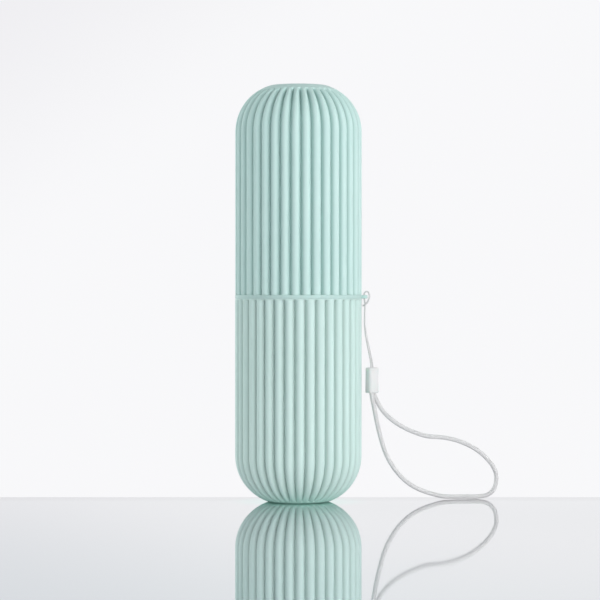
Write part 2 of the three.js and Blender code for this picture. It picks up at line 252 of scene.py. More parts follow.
def yarn_group():
    """The look of twisted yarn on a cord: a tone that varies along and across the yarns."""
    tree = bpy.data.node_groups.new("yarn", "ShaderNodeTree")
    group_socket(tree, "Light", True, "NodeSocketColor")
    group_socket(tree, "Dark", True, "NodeSocketColor")
    group_socket(tree, "Strands", True)
    group_socket(tree, "Slant", True)
    group_socket(tree, "Color", False, "NodeSocketColor")
    group_socket(tree, "Height", False)
    given = tree.nodes.new("NodeGroupInput")
    result = tree.nodes.new("NodeGroupOutput")
    place = add_node(tree, "ShaderNodeUVMap", {"uv_map": "cord"})
    split = add_node(tree, "ShaderNodeSeparateXYZ", inputs={"Vector": place.outputs["UV"]})
    across = add_node(tree, "ShaderNodeMath", {"operation": "MULTIPLY"},
                      {0: split.outputs["X"], 1: given.outputs["Strands"]})
    along = add_node(tree, "ShaderNodeMath", {"operation": "MULTIPLY_ADD"},
                     {0: split.outputs["Y"], 1: given.outputs["Slant"], 2: across.outputs[0]})
    wave = add_node(tree, "ShaderNodeMath", {"operation": "MULTIPLY"},
                    {0: along.outputs[0], 1: 2 * math.pi})
    sine = add_node(tree, "ShaderNodeMath", {"operation": "SINE"}, {0: wave.outputs[0]})
    strand = add_node(tree, "ShaderNodeMapRange", inputs={
        "Value": sine.outputs[0], "From Min": -1, "From Max": 1})
    spot = add_node(tree, "ShaderNodeTexCoord").outputs["Object"]
    fuzz = add_node(tree, "ShaderNodeTexNoise", inputs={
        "Vector": spot, "Scale": FUZZ_SCALE, "Detail": 3, "Roughness": 0.6})
    both = add_node(tree, "ShaderNodeMath", {"operation": "MULTIPLY_ADD"},
                    {0: fuzz.outputs["Fac"], 1: FUZZ_SHARE, 2: strand.outputs[0]})
    share = add_node(tree, "ShaderNodeMapRange", inputs={
        "Value": both.outputs[0], "From Min": YARN_DARK_END, "From Max": YARN_LIGHT_END})
    tone = blended(tree, share.outputs[0], given.outputs["Dark"], given.outputs["Light"])
    tree.links.new(tone, result.inputs["Color"])
    tree.links.new(share.outputs[0], result.inputs["Height"])
    return tree


yarn = yarn_group()

CORD_LIGHT = (0.73, 0.715, 0.72)
CORD_DARK = (0.59, 0.575, 0.58)
YARN_BUMP_STRENGTH = 0.5
YARN_BUMP_HEIGHT = 0.00006
YARN_ROUGHNESS = 0.78
YARN_SHEEN = 0.6
YARN_SHEEN_ROUGHNESS = 0.5


def braid_material(name, strands, slant):
    """Matt polyester yarn: soft sheen, no gloss, and fine strands that catch the light."""
    material, tree, shader = new_material(name)
    look = add_node(tree, "ShaderNodeGroup", {"node_tree": yarn}, {
        "Light": (*CORD_LIGHT, 1), "Dark": (*CORD_DARK, 1),
        "Strands": strands, "Slant": slant})
    bump = add_node(tree, "ShaderNodeBump", inputs={
        "Strength": YARN_BUMP_STRENGTH, "Distance": YARN_BUMP_HEIGHT,
        "Height": look.outputs["Height"]})
    tree.links.new(look.outputs["Color"], shader.inputs["Base Color"])
    tree.links.new(bump.outputs["Normal"], shader.inputs["Normal"])
    shader.inputs["Roughness"].default_value = YARN_ROUGHNESS
    shader.inputs["Sheen Weight"].default_value = YARN_SHEEN
    shader.inputs["Sheen Roughness"].default_value = YARN_SHEEN_ROUGHNESS
    return material


LOOP_STRANDS = 24
LOOP_SLANT = 1.4

wrist_loop, loop_line = braided_cord(
    "wrist_loop_braid", LOOP_ROUTE, LOOP_DIAMETER, LOOP_YARNS, LOOP_PITCH, LOOP_RING, LOOP_SIDES)
wrist_loop.data.materials.append(braid_material("loop_braid", LOOP_STRANDS, LOOP_SLANT))
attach(wrist_loop, "ring_body")
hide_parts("wrist_loop")


# String. A thin braid of the same yarn, under a millimetre thick, whose two ends are moulded
# into the sleeve. Its bight is passed through the ear's eye and round its own two strands.

STRING_DIAMETER = 0.0008
STRING_YARNS = 8
STRING_PITCH = 0.0026
STRING_RING = 0.00011
STRING_SIDES = 20
STRING_STRANDS = 12
STRING_SLANT = 2.6
STRAND_OFFSET = 0.00065
SLEEVE_TURN_SHARE = 0.11
STRING_LEG = [
    (0.03665, 0.0660), (0.03660, 0.0676), (0.03620, 0.0706), (0.03540, 0.0744),
    (0.03440, 0.0790), (0.03350, 0.0840), (0.03305, 0.0895), (0.03310, 0.0940),
]
STRING_HITCH = [
    (0.03322, 0.00064, 0.0972), (0.03305, 0.00062, 0.0996), (0.03273, 0.00062, 0.1015),
    (0.03273, 0.00063, 0.1032), (0.03313, 0.00066, 0.10412), (0.03405, 0.00072, 0.1045),
    (0.03497, 0.00078, 0.10412), (0.03535, 0.00085, 0.1032), (0.03535, 0.00095, 0.1019),
    (0.03510, 0.00110, 0.1007), (0.03465, 0.00132, 0.0996), (0.03400, 0.00155, 0.0987),
    (0.03320, 0.00164, 0.09805), (0.03245, 0.00105, 0.0976),
]
HITCH_MIDDLE = (0.03225, 0, 0.09745)

sleeve_turn = SLEEVE_TURN_SHARE * 2 * math.pi


def leg_strand(side):
    """One of the two standing strands, which turn about the line between them on the way up."""
    line = np.array(STRING_LEG)
    turn = np.linspace(sleeve_turn, math.pi / 2, len(line))
    reach = side * STRAND_OFFSET
    return np.stack([line[:, 0] + reach * np.cos(turn), reach * np.sin(turn), line[:, 1]], axis=1)


string_route = (leg_strand(1).tolist() + STRING_HITCH + [HITCH_MIDDLE]
                + [(x, -y, z) for x, y, z in reversed(STRING_HITCH)]
                + leg_strand(-1)[::-1].tolist())

lanyard_string, string_line = braided_cord(
    "lanyard_string_braid", string_route, STRING_DIAMETER, STRING_YARNS, STRING_PITCH,
    STRING_RING, STRING_SIDES)
lanyard_string.data.materials.append(
    braid_material("string_braid", STRING_STRANDS, STRING_SLANT))
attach(lanyard_string, "ring_body")
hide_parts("lanyard_string")


# Sleeve. A small white moulded plastic sleeve that joins the string's ends to the loop's ends.
# It is moulded round them in one shot, with a parting line down its two sides.

SLEEVE_X = 0.03665
SLEEVE_WIDTH = 0.0060
SLEEVE_DEPTH = 0.0050
SLEEVE_ROUND = 0.0014
SLEEVE_EDGE = 0.0006
SLEEVE_TAPER_SHARE = 0.04
SLEEVE_WAIST_SHARE = 0.02
SLEEVE_MOUTH_DEPTH = 0.0006
SLEEVE_MOUTH_SHARE = 0.62
SLEEVE_LIP_SHARE = 1.4
SLEEVE_COLUMNS = 96
SLEEVE_ROWS = 25
HALVINGS = 40
PARTING_PROUD = 0.00007
PARTING_WIDTH = 0.00022


def rounded_section(half_x, half_y, corner, count, shift=0):
    """Points round a rectangle with round corners, evenly spaced by angle, and their angles.

    They are seen from a point inside it, and shift is how far the rectangle's middle lies from
    there along X. Along a direction, the edge is where the distance from the shrunk rectangle is
    the corner's radius; it is found by halving the stretch that ends past the far corner.
    """
    angle = np.linspace(0, 2 * math.pi, count, endpoint=False)
    way = np.stack([np.cos(angle), np.sin(angle)], axis=1)
    low, high = np.zeros(count), np.full(count, half_x + half_y + abs(shift))
    core = np.array([half_x - corner, half_y - corner])
    for _ in range(HALVINGS):
        middle = (low + high) / 2
        beyond = np.maximum(np.abs(way * middle[:, None] - [shift, 0]) - core, 0)
        inside = np.linalg.norm(beyond, axis=1) < corner
        low, high = np.where(inside, middle, low), np.where(inside, high, middle)
    return way * low[:, None], angle


def sleeve_mesh():
    """The sleeve: one rounded section carried up its height.

    The section shrinks along a quarter circle at both ends and turns in to a shallow mouth there.
    It is narrower at the top by the taper, and drawn in at the middle by the waist. The parting
    line is a low ridge down its two narrow sides. The whole is turned about its upright axis, so
    that it hangs with an edge to the front.
    """
    low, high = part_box("lanyard_sleeve")
    centre = np.array([SLEEVE_X, 0, (low[2] + high[2]) / 2])
    half = np.array([SLEEVE_WIDTH / 2, SLEEVE_DEPTH / 2, (high[2] - low[2]) / 2])
    section, angle = rounded_section(half[0], half[1], SLEEVE_ROUND, SLEEVE_COLUMNS)
    seam = PARTING_PROUD * np.exp(-((section[:, 1] / PARTING_WIDTH) ** 2))
    section = section + seam[:, None] * np.stack([np.cos(angle), np.sin(angle)], axis=1)
    turn = np.linspace(0, math.pi / 2, 7)
    height = np.linspace(-half[2] + SLEEVE_EDGE, half[2] - SLEEVE_EDGE, SLEEVE_ROWS)
    inset = SLEEVE_EDGE * np.concatenate([
        [SLEEVE_LIP_SHARE], 1 - np.sin(turn), np.zeros(len(height)), 1 - np.cos(turn),
        [SLEEVE_LIP_SHARE]])
    level = np.concatenate([
        [-half[2]], -half[2] + SLEEVE_EDGE * (1 - np.cos(turn)), height,
        half[2] - SLEEVE_EDGE * (1 - np.sin(turn)), [half[2]]])
    share = (level + half[2]) / (2 * half[2])
    draw = 1 - SLEEVE_TAPER_SHARE * share - SLEEVE_WAIST_SHARE * np.sin(math.pi * share)
    shrink = (1 - inset[:, None] / np.linalg.norm(section, axis=1)[None, :]) * draw[:, None]
    wall = np.concatenate([section[None] * shrink[:, :, None],
                           np.broadcast_to(level[:, None, None], shrink.shape + (1,))], axis=2)
    mouths = []
    for edge, depth in ((wall[0], SLEEVE_MOUTH_DEPTH), (wall[-1], -SLEEVE_MOUTH_DEPTH)):
        lip = edge * [SLEEVE_MOUTH_SHARE, SLEEVE_MOUTH_SHARE, 1]
        mouths.append(np.stack([lip + [0, 0, depth], lip]))
    rings = np.concatenate([mouths[0], wall, mouths[1][::-1]])
    turned = rings.copy()
    turned[..., 0] = rings[..., 0] * math.cos(sleeve_turn) - rings[..., 1] * math.sin(sleeve_turn)
    turned[..., 1] = rings[..., 0] * math.sin(sleeve_turn) + rings[..., 1] * math.cos(sleeve_turn)
    rings = turned + centre
    return closed_tube("lanyard_sleeve_moulding", rings, rings[0].mean(0), rings[-1].mean(0))


CLOUD_SCALE = 28
CLOUD_LOW = 0.35
CLOUD_HIGH = 0.65
GRAIN_SCALE = 2600
SHINE_SPREAD = 0.05


def grain_group():
    """The fine grain of moulded plastic: a soft tone, a roughness and a height that vary."""
    tree = bpy.data.node_groups.new("moulded_grain", "ShaderNodeTree")
    group_socket(tree, "Colour", True, "NodeSocketColor")
    group_socket(tree, "Tint", True, "NodeSocketColor")
    group_socket(tree, "Roughness", True)
    group_socket(tree, "Color", False, "NodeSocketColor")
    group_socket(tree, "Rough", False)
    group_socket(tree, "Height", False)
    given = tree.nodes.new("NodeGroupInput")
    result = tree.nodes.new("NodeGroupOutput")
    spot = add_node(tree, "ShaderNodeTexCoord").outputs["Object"]
    cloud = add_node(tree, "ShaderNodeTexNoise", inputs={
        "Vector": spot, "Scale": CLOUD_SCALE, "Detail": 2, "Roughness": 0.5})
    grain = add_node(tree, "ShaderNodeTexNoise", inputs={
        "Vector": spot, "Scale": GRAIN_SCALE, "Detail": 2, "Roughness": 0.55})
    share = add_node(tree, "ShaderNodeMapRange", inputs={
        "Value": cloud.outputs["Fac"], "From Min": CLOUD_LOW, "From Max": CLOUD_HIGH})
    tone = blended(tree, share.outputs[0], given.outputs["Colour"], given.outputs["Tint"])
    shine = add_node(tree, "ShaderNodeMath", {"operation": "MULTIPLY_ADD"},
                     {0: share.outputs[0], 1: SHINE_SPREAD, 2: given.outputs["Roughness"]})
    tree.links.new(tone, result.inputs["Color"])
    tree.links.new(shine.outputs[0], result.inputs["Rough"])
    tree.links.new(grain.outputs["Fac"], result.inputs["Height"])
    return tree


moulded_grain = grain_group()

GRAIN_STRENGTH = 0.35
PLASTIC_IOR = 1.49
LIGHT_DEPTH = (0.0012, 0.0015, 0.0014)


def moulded_material(name, colour, tint, roughness, bump_height, glow, reach=1.0):
    """Moulded polypropylene: a satin skin with a fine grain, and light that enters a little way.

    Glow is the share of the light that goes in, and reach is how far it comes out again, as a
    multiple of the light's depth in red, green and blue.
    """
    material, tree, shader = new_material(name)
    look = add_node(tree, "ShaderNodeGroup", {"node_tree": moulded_grain}, {
        "Colour": (*colour, 1), "Tint": (*tint, 1), "Roughness": roughness})
    bump = add_node(tree, "ShaderNodeBump", inputs={
        "Strength": GRAIN_STRENGTH, "Distance": bump_height, "Height": look.outputs["Height"]})
    tree.links.new(look.outputs["Color"], shader.inputs["Base Color"])
    tree.links.new(look.outputs["Rough"], shader.inputs["Roughness"])
    tree.links.new(bump.outputs["Normal"], shader.inputs["Normal"])
    shader.inputs["IOR"].default_value = PLASTIC_IOR
    shader.inputs["Subsurface Weight"].default_value = glow
    shader.inputs["Subsurface Radius"].default_value = LIGHT_DEPTH
    shader.inputs["Subsurface Scale"].default_value = reach
    return material


SLEEVE_WHITE = (0.76, 0.75, 0.75)
SLEEVE_TINT = (0.73, 0.72, 0.72)
SLEEVE_ROUGHNESS = 0.4
SLEEVE_GRAIN = 0.00002
SLEEVE_GLOW = 0.9
SLEEVE_REACH = 2.5

sleeve = sleeve_mesh()
sleeve.data.materials.append(moulded_material(
    "sleeve_white", SLEEVE_WHITE, SLEEVE_TINT, SLEEVE_ROUGHNESS, SLEEVE_GRAIN, SLEEVE_GLOW,
    SLEEVE_REACH))
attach(sleeve, "ring_body")
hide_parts("lanyard_sleeve")


# Lower case. The lower half of the capsule, injection moulded in mint polypropylene about
# 1.2 mm thick under its grooves. Its 36 ribs are cut into the mould and stop just under the rim.

CREST_RADIUS = 0.0315
CORNER_RADIUS = 0.024
GROOVE_DEPTH = 0.0024
WALL = 0.0012
BASE_CUT = 0.0012
RIB_COUNT = 36
RIB_STATIONS = 14
RIB_ROUNDNESS = 0.8
LOWER_GROOVE_START = 0.07
LOWER_GROOVE_FULL = 0.6
LOWER_GROOVE_STOP = 0.0013
LOWER_RIM_LAND = 0.0003
LOWER_RIB_TURN_SHARE = 0.15
RIM_EDGE = 0.00025
RIM_ROW = 0.0006
GATE_RADIUS = 0.0014
GATE_DEPTH = 0.0002
GATE_BEVEL = 0.0001
AXIS_GAP = 0.0004
CORNER_ROWS = 76
WALL_ROWS = 8
STOP_ROWS = 10
INNER_ROWS = 20

seam_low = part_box("lower_case")[1][2]
inner_radius = CREST_RADIUS - GROOVE_DEPTH - WALL
corner_centre = CREST_RADIUS - CORNER_RADIUS
inner_corner = inner_radius - corner_centre
base_centre = CORNER_RADIUS - BASE_CUT


def rib_angles(turn_share):
    """Angles round the case from the front, and how far each is sunk, from 0 on a crest to 1.

    They are closer together near the grooves. Across a rib the surface is a part of a circle's
    top, so the sink is one minus the root of one minus the roundness times the squared distance
    from the crest, scaled to reach 1 in the groove.
    """
    across = np.sin(math.pi / 2 * np.linspace(-1, 1, RIB_STATIONS, endpoint=False))
    rib = np.arange(RIB_COUNT)[:, None] + turn_share + across[None, :] / 2
    sink = 1 - np.sqrt(1 - RIB_ROUNDNESS * across**2)
    sink /= 1 - math.sqrt(1 - RIB_ROUNDNESS)
    return (2 * math.pi * rib / RIB_COUNT).ravel(), np.tile(sink, RIB_COUNT)


def corner_rows(height, up, radius, start, end, rows):
    """Radii and heights along a rounded corner, from one angle above level to another."""
    angle = np.linspace(start, end, rows)
    return np.stack([corner_centre + radius * np.cos(angle),
                     height + up * radius * np.sin(angle)], axis=1), angle


def edge_rows(radius, height, way_out, way_up):
    """A rim's small quarter-round edge, from its wall to its flat, as radii and heights."""
    angle = np.linspace(0, math.pi / 2, 4)
    return np.stack([radius - way_out * RIM_EDGE * (1 - np.cos(angle)),
                     height - way_up * RIM_EDGE * (1 - np.sin(angle))], axis=1)


def flat_rows(flat, up, radius):
    """Radii and heights along a flat end, from the gate mark in its middle to its edge."""
    sunk = flat - up * GATE_DEPTH
    return np.array([[AXIS_GAP, sunk], [GATE_RADIUS - GATE_BEVEL, sunk],
                     [GATE_RADIUS, flat - up * GATE_DEPTH / 2], [GATE_RADIUS + GATE_BEVEL, flat],
                     [radius * 0.5, flat], [radius * 0.9, flat], [radius - GATE_BEVEL, flat]])


def wall_rows(height, up, rim, plain_rim):
    """Heights along the straight wall towards the rim, and the groove depth at each.

    With a plain rim, the depth falls along a quarter circle to nothing, just short of the rim.
    Without one, it is whole all the way.
    """
    if plain_rim:
        stop = rim + up * (LOWER_GROOVE_STOP + LOWER_RIM_LAND)
        run = 1 - np.cos(np.linspace(0, math.pi / 2, STOP_ROWS))[1:]
        straight = np.linspace(height, stop, WALL_ROWS)[1:]
        return (np.concatenate([straight, stop - up * LOWER_GROOVE_STOP * run]),
                GROOVE_DEPTH * np.concatenate([np.ones(len(straight)), np.sqrt(1 - run**2)]))
    heights = np.append(np.linspace(height, rim + up * RIM_ROW, WALL_ROWS)[1:], rim + up * RIM_EDGE)
    return heights, np.full(len(heights), GROOVE_DEPTH)


def cup_rows(height, up, flat, rim, plain_rim, start, full):
    """The outline of a cup from the middle of its flat end round its rim to the inner middle.

    Rows are radius and height, with the way in from the surface and the groove depth there.
    A plain rim is left round the flat. From there the depth grows along a quarter circle, so
    that a groove's end is round, and stays whole to the wall.
    """
    flat_angle = math.asin(abs(flat - height) / CORNER_RADIUS)
    face = flat_rows(flat, up, corner_centre + CORNER_RADIUS * math.cos(flat_angle))
    corner, angle = corner_rows(height, up, CORNER_RADIUS, flat_angle, 0, CORNER_ROWS)
    grown = np.clip((1 - angle / flat_angle - start) / (full - start), 0, 1)
    corner_depth = GROOVE_DEPTH * (1 - (1 - grown) ** 2) ** 0.5
    wall_height, wall_depth = wall_rows(height, up, rim, plain_rim)
    wall = np.stack([np.full(len(wall_height), CREST_RADIUS), wall_height], axis=1)
    outer_edge = edge_rows(CREST_RADIUS, rim, 1, -up)
    edge_depth = np.full(len(outer_edge), 0 if plain_rim else GROOVE_DEPTH)
    inner_edge = edge_rows(inner_radius, rim, -1, -up)[::-1]
    bore = np.array([[inner_radius, rim + up * abs(height - rim) / 2]])
    inner, _ = corner_rows(height, up, inner_corner, 0, math.pi / 2, INNER_ROWS)
    floor = np.array([[corner_centre / 2, inner[-1, 1]], [AXIS_GAP, inner[-1, 1]]])
    inside = np.vstack([inner_edge, bore, inner, floor])
    rows = np.vstack([face, corner, wall, outer_edge, inside])
    depth = np.concatenate([np.zeros(len(face)), corner_depth, wall_depth, edge_depth,
                            np.zeros(len(inside))])
    way_in = np.tile([-1.0, 0.0], (len(rows), 1))
    way_in[len(face):len(face) + len(corner)] = np.stack(
        [-np.cos(angle), -up * np.sin(angle)], axis=1)
    return rows, way_in, depth


def cup_mesh(name, height, up, flat, rim, plain_rim, start, full, turn_share):
    """A ribbed cup: its outline turned about the axis, and sunk into grooves between the ribs.

    Height is that of the rounded corner's centre, and up is 1 where the flat end is on top.
    """
    rows, way_in, depth = cup_rows(height, up, flat, rim, plain_rim, start, full)
    if up > 0:
        rows, way_in, depth = rows[::-1], way_in[::-1], depth[::-1]
    angle, sink = rib_angles(turn_share)
    sunk = depth[:, None] * sink[None, :]
    moved = rows[:, None, :] + way_in[:, None, :] * sunk[:, :, None]
    rings = np.stack([moved[:, :, 0] * np.sin(angle), -moved[:, :, 0] * np.cos(angle),
                      moved[:, :, 1]], axis=2)
    cup = closed_tube(name, rings, [0, 0, rings[0, 0, 2]], [0, 0, rings[-1, 0, 2]])
    # Each point's groove depth, from which the painted groove shade is mixed.
    mask = cup.data.attributes.new("groove", "FLOAT", "POINT")
    mask.data.foreach_set("value", np.append((sunk / GROOVE_DEPTH).ravel(), [0, 0]))
    return cup


PALE_MINT = (0.605, 0.768, 0.735)
PALE_MINT_TINT = (0.59, 0.758, 0.72)
# Painted shade in the grooves: a darker mint, how strong it is, and the groove depths it spans.
PALE_GROOVE_SHADE_MINT = (0.465, 0.58, 0.55)
GROOVE_SHADE_SHARE = 0.76
GROOVE_SHADE_BOTTOM_EASE = 0.1
GROOVE_SHADE_START = 0.03
GROOVE_SHADE_FULL = 0.6
CASE_ROUGHNESS = 0.46
CASE_GRAIN = 0.00003
CASE_GLOW = 0.05


def eased(tree, value, start, end, first, last):
    """A value that eases from first to last while the given one grows from start to end."""
    return add_node(tree, "ShaderNodeMapRange", {"interpolation_type": "SMOOTHSTEP"}, {
        "Value": value, "From Min": start, "From Max": end,
        "To Min": first, "To Max": last}).outputs[0]


def add_painted_groove_shade(material, tone):
    """Painted shade between two ribs: a darker mint mixed into the colour by groove depth.

    It deepens from the crests down the flanks, and eases a little at the bottom of a groove.
    """
    tree = material.node_tree
    shader = next(n for n in tree.nodes if n.type == "BSDF_PRINCIPLED")
    skin = shader.inputs["Base Color"].links[0].from_socket
    sunk = add_node(tree, "ShaderNodeAttribute", {"attribute_name": "groove"}).outputs["Fac"]
    flank = eased(tree, sunk, GROOVE_SHADE_START, GROOVE_SHADE_FULL, 0, GROOVE_SHADE_SHARE)
    bottom = eased(tree, sunk, GROOVE_SHADE_FULL, 1, 0, GROOVE_SHADE_BOTTOM_EASE)
    share = add_node(tree, "ShaderNodeMath", {"operation": "SUBTRACT"}, {0: flank, 1: bottom})
    shade = blended(tree, share.outputs[0], skin, (*tone, 1))
    tree.links.new(shade, shader.inputs["Base Color"])


lower_case = cup_mesh("lower_case_moulding", base_centre, -1, 0.0, seam_low, True,
                      LOWER_GROOVE_START, LOWER_GROOVE_FULL, LOWER_RIB_TURN_SHARE)
case_plastic = moulded_material("case_plastic", PALE_MINT, PALE_MINT_TINT, CASE_ROUGHNESS,
                                CASE_GRAIN, CASE_GLOW)
# Painted shade in the lower case's grooves.
add_painted_groove_shade(case_plastic, PALE_GROOVE_SHADE_MINT)
lower_case.data.materials.append(case_plastic)
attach(lower_case, "lower_body")
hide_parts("lower_case")


# Divider guides. Four upright ribs moulded on the inner wall of the lower case, two at each
# side, which hold the divider's edges and end below the coupling ring.

DIVIDER_THICKNESS = 0.0015
SEAT_GAP = 0.0003
GUIDE_THICKNESS = 0.0012
GUIDE_INNER = 0.0240
GUIDE_ROOT = 0.0004
GUIDE_EDGE = 0.0003
GUIDE_TOP_GAP = 0.002
GUIDE_COLUMNS = 48


def rounded_bar(name, low, high, edge):
    """An upright bar with rounded edges: a rounded section carried from its foot to its top.

    The section shrinks along a quarter circle at both ends.
    """
    low, high = np.array(low), np.array(high)
    centre, half = (low + high) / 2, (high - low) / 2
    section, _ = rounded_section(half[0], half[1], edge, GUIDE_COLUMNS)
    turn = np.linspace(0, math.pi / 2, 5)
    foot, head = edge * (1 - np.sin(turn)), edge * (1 - np.cos(turn))
    inset = np.concatenate([foot, head])
    level = np.concatenate([-half[2] + head, half[2] - foot])
    shrink = 1 - inset[:, None] / np.linalg.norm(section, axis=1)[None, :]
    upright = np.broadcast_to(level[:, None, None], shrink.shape + (1,))
    rings = np.concatenate([section[None] * shrink[:, :, None], upright], axis=2) + centre
    return closed_tube(name, rings, rings[0].mean(0), rings[-1].mean(0))


guide_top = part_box("coupling_ring")[0][2] - GUIDE_TOP_GAP
guide_near = DIVIDER_THICKNESS / 2 + SEAT_GAP
for number, (side, face) in enumerate([(-1, -1), (-1, 1), (1, -1), (1, 1)], start=1):
    xs = sorted((side * GUIDE_INNER, side * (inner_radius + GUIDE_ROOT)))
    ys = sorted((face * guide_near, face * (guide_near + GUIDE_THICKNESS)))
    guide = rounded_bar(f"divider_guide_{number}", (xs[0], ys[0], base_centre),
                        (xs[1], ys[1], guide_top), GUIDE_EDGE)
    guide.data.materials.append(case_plastic)
    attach(guide, "lower_body")


# Coupling ring. A plain mint band that shows at the seam, with a spigot above and one below,
# each with a small grip bead, and an ear with an eye for the string. It is one moulding.

SPIGOT_GAP = 0.0004
SPIGOT_WALL = 0.0014
SPIGOT_CHAMFER = 0.0006
BORE_EDGE = 0.0002
BEAD_PROUD = 0.0002
BEAD_HALF = 0.0006
BAND_EDGE = 0.0003
RING_COLUMNS = 360
EAR_ROOT = 0.0006
EAR_WIDTH = 0.0050
EAR_CORNER = 0.0012
EAR_EDGE = 0.00025
EAR_RECESS = 0.00005
EAR_COLUMNS = 160
EYE_BAR = 0.0009
EYE_LENGTH = 0.0016
EYE_WIDTH = 0.0032
EYE_CORNER = 0.0007

seam_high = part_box("cap")[0][2]
ring_low, ring_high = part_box("coupling_ring")
spigot_radius = inner_radius - SPIGOT_GAP
bore_radius = spigot_radius - SPIGOT_WALL
edge_turn = np.linspace(0, math.pi / 2, 5)


def bead_rows(height):
    """A bead on a spigot, half of an ellipse, as rows of radii and heights."""
    angle = np.linspace(-math.pi / 2, math.pi / 2, 9)
    return np.stack([spigot_radius + BEAD_PROUD * np.cos(angle),
                     height + BEAD_HALF * np.sin(angle)], axis=1)


def spigot_rows(end, way):
    """A spigot's end, from the bore round to its outer wall; way is 1 at the top, -1 below."""
    return np.array([[bore_radius, end - way * BORE_EDGE], [bore_radius + BORE_EDGE, end],
                     [spigot_radius - SPIGOT_CHAMFER, end],
                     [spigot_radius, end - way * SPIGOT_CHAMFER]])


def ring_points():
    """The ring: its closed section, given by radii and heights, turned about the case's axis."""
    foot, head = BAND_EDGE * (1 - np.sin(edge_turn)), BAND_EDGE * (1 - np.cos(edge_turn))
    band = np.stack([CREST_RADIUS - np.concatenate([foot, head]),
                     np.concatenate([seam_low + head, seam_high - foot])], axis=1)
    section = np.vstack([
        spigot_rows(ring_low[2], -1), bead_rows((ring_low[2] + seam_low) / 2),
        [spigot_radius, seam_low], band, [spigot_radius, seam_high],
        bead_rows((ring_high[2] + seam_high) / 2), spigot_rows(ring_high[2], 1)[::-1]])
    angle = np.linspace(0, 2 * math.pi, RING_COLUMNS, endpoint=False)[:, None]
    return np.stack([section[None, :, 0] * np.sin(angle), -section[None, :, 0] * np.cos(angle),
                     np.broadcast_to(section[:, 1], (RING_COLUMNS, len(section)))], axis=2)


def ear_points():
    """The ear: a loop between its outer outline and its eye, with rounded edges.

    At each angle round the eye's centre there is a point on the eye and one on the outline;
    the section between them is a flat bar with quarter-round edges.
    """
    root, tip = CREST_RADIUS - EAR_ROOT, ring_high[0]
    middle = tip - EYE_BAR - EYE_LENGTH / 2
    eye, angle = rounded_section(EYE_LENGTH / 2, EYE_WIDTH / 2, EYE_CORNER, EAR_COLUMNS)
    outline, _ = rounded_section((tip - root) / 2, EAR_WIDTH / 2, EAR_CORNER, EAR_COLUMNS,
                                 shift=(tip + root) / 2 - middle)
    foot, head = EAR_EDGE * (1 - np.sin(edge_turn)), EAR_EDGE * (1 - np.cos(edge_turn))
    inset = np.concatenate([foot, head])[:, None]
    reach = np.concatenate([np.linalg.norm(outline, axis=1) - inset,
                            np.linalg.norm(eye, axis=1) + inset])
    bottom, top = seam_low + EAR_RECESS, seam_high - EAR_RECESS
    level = np.concatenate([bottom + head, top - foot, top - head, bottom + foot])
    return np.stack([middle + reach * np.cos(angle), reach * np.sin(angle),
                     np.broadcast_to(level[:, None], reach.shape)], axis=2).swapaxes(0, 1)


def looped_grid(name, points):
    """A mesh of a grid of points that closes on itself both ways, such as a ring or an eye."""
    first, second = points.shape[:2]
    i, j = np.meshgrid(np.arange(first), np.arange(second), indexing="ij")
    i2, j2 = (i + 1) % first, (j + 1) % second
    faces = np.stack([i * second + j, i2 * second + j, i2 * second + j2, i * second + j2], axis=-1)
    return add_piece(name, points.reshape(-1, 3), faces.reshape(-1, 4).tolist())


RING_MINT = (0.505, 0.675, 0.645)
RING_TINT = (0.49, 0.665, 0.635)
RING_ROUGHNESS = 0.46
RING_GRAIN = 0.00002
RING_GLOW = 0.12

ring = looped_grid("coupling_ring_moulding", ring_points())
ear = looped_grid("coupling_ring_ear", ear_points())
ring_plastic = moulded_material("ring_plastic", RING_MINT, RING_TINT, RING_ROUGHNESS,
                                RING_GRAIN, RING_GLOW)
for part in (ring, ear):
    part.data.materials.append(ring_plastic)
    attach(part, "ring_body")
    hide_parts("coupling_ring")


# Divider. A flat moulded panel that stands on edge in the lower case between the guides.
# Its foot follows the round floor, and a notch in its top edge lets a finger lift it out.

DIVIDER_EDGE = 0.0003
DIVIDER_TOP_CORNER = 0.008
NOTCH_RADIUS = 0.009
NOTCH_RISE = 0.0025


def divider_outline():
    """Points round the panel's outline: floor arcs, sides, top corners and the finger notch."""
    half, _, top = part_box("divider")[1]
    foot = inner_corner - SEAT_GAP
    foot_end = math.acos((half - corner_centre) / foot)
    down = np.linspace(-math.pi / 2, -foot_end, 24)
    right = [(corner_centre + foot * math.cos(a), base_centre + foot * math.sin(a)) for a in down]
    corner = np.linspace(0, math.pi / 2, 14)
    right += [(half - DIVIDER_TOP_CORNER * (1 - math.cos(a)),
               top - DIVIDER_TOP_CORNER * (1 - math.sin(a))) for a in corner]
    start = math.asin(NOTCH_RISE / NOTCH_RADIUS)
    notch = np.linspace(-start, -math.pi / 2, 14)
    right += [(NOTCH_RADIUS * math.cos(a), top + NOTCH_RISE + NOTCH_RADIUS * math.sin(a))
              for a in notch]
    left = [(-x, z) for x, z in reversed(right[:-1])]
    return np.array(right + left)


